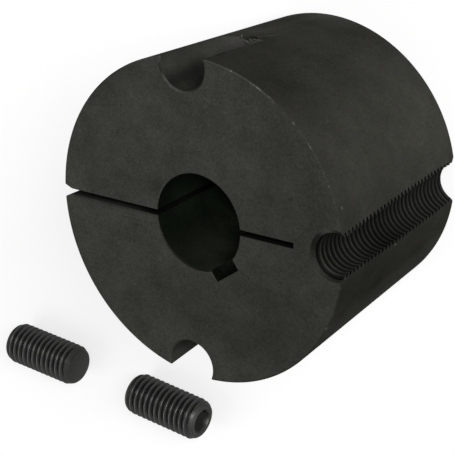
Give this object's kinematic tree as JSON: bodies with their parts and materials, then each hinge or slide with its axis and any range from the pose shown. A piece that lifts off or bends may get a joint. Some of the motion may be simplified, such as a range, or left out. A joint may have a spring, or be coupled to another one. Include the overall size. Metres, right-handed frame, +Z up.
{
  "type": "taper bush with set screws",
  "caption": "Split taper bush for clamping a pulley or sprocket on a shaft: keyed straight bore, tapered outside, half holes round the large end, with its loose socket set screws.",
  "frame": {"origin": "on the bore's axis, in the plane of the small end face that the bush stands on", "axes": "+Z up along the bore's axis towards the large end face; +X from the bore towards the tapped half hole, opposite the split"},
  "size_m": [0.1969, 0.1756, 0.0762],
  "materials": {
    "blackened_iron": "turned cast iron, phosphated black and lightly oiled",
    "blackened_steel": "blackened steel, bare glints on the thread crests"
  },
  "bodies": {
    "root": {"bush": "blackened_iron", "set_screw_1": "blackened_steel", "set_screw_2": "blackened_steel"}
  },
  "joints": []
}
